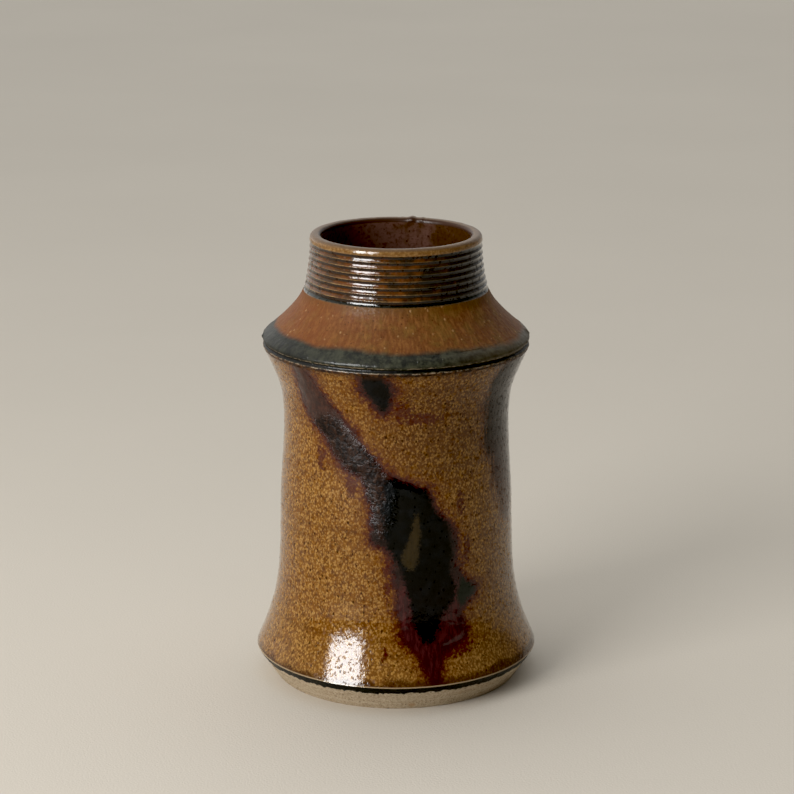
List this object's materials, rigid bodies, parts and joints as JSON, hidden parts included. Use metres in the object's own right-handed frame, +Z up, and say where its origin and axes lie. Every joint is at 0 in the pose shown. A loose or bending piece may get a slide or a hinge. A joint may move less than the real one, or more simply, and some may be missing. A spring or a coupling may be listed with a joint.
{
  "type": "stoneware vase",
  "caption": "Hand-thrown stoneware vase with a waisted body, a beaded ridge, a sloping shoulder and a combed neck, open at the top to hold stems.",
  "frame": {"origin": "centre of the circle that the foot rests on, at the lowest point of the vase", "axes": "+Z up along the axis that the vase was turned on; -Y towards the front, where the long dark brushstroke is; +X to the right as seen from the front"},
  "size_m": [0.1004, 0.1004, 0.16],
  "materials": {
    "bare_stoneware": "unglazed, fine grit, warm buff",
    "amber_glaze": "glossy mottled ochre with brown flecks",
    "russet_glaze": "satin orange-brown, streaked downwards",
    "dark_glaze": "dark grey-green, semi-gloss",
    "combed_glaze": "glossy brown over combed grooves, dark in the grooves",
    "liner_glaze": "glossy dark brown",
    "iron_glaze": "glossy purple-black iron, crinkled in places"
  },
  "bodies": {
    "root": {"foot_ring": "bare_stoneware", "floor_disc": "bare_stoneware", "body_wall": "bare_stoneware", "shoulder_ridge": "bare_stoneware", "shoulder_cone": "bare_stoneware", "neck_collar": "bare_stoneware", "foot_glaze_line": "dark_glaze", "body_glaze": "amber_glaze", "ridge_glaze": "dark_glaze", "shoulder_glaze": "russet_glaze", "neck_glaze": "combed_glaze", "liner_glaze": "liner_glaze", "iron_brushstroke": "iron_glaze", "iron_patch_front": "iron_glaze", "iron_patch_side": "iron_glaze"}
  },
  "joints": []
}
